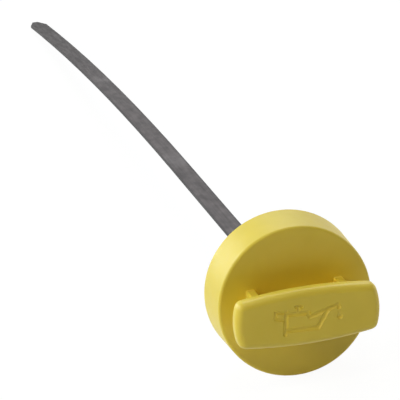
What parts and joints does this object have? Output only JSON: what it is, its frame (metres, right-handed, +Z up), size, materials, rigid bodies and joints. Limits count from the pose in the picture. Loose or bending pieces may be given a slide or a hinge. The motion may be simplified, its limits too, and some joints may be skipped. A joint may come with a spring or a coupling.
{
  "type": "engine oil dipstick",
  "caption": "Oil dipstick on a yellow moulded filler cap: round skirted cap with a T-shaped turning grip, sealing ring, bayonet spigot and a long flat steel blade.",
  "frame": {"origin": "on the floor, under the middle of the dipstick as it lies", "axes": "+Z up, +Y along the dipstick towards the blade's tip, +X to the right of someone who faces the grip"},
  "size_m": [0.06, 0.4798, 0.0599],
  "materials": {
    "yellow_plastic": "satin moulded",
    "seal_rubber": "matte",
    "blade_steel": "rolled strip, dull",
    "rivet_steel": "satin"
  },
  "bodies": {
    "root": {"cap": "yellow_plastic", "seal_ring": "seal_rubber", "dipstick_blade": "blade_steel", "blade_rivet": "rivet_steel"}
  },
  "joints": []
}
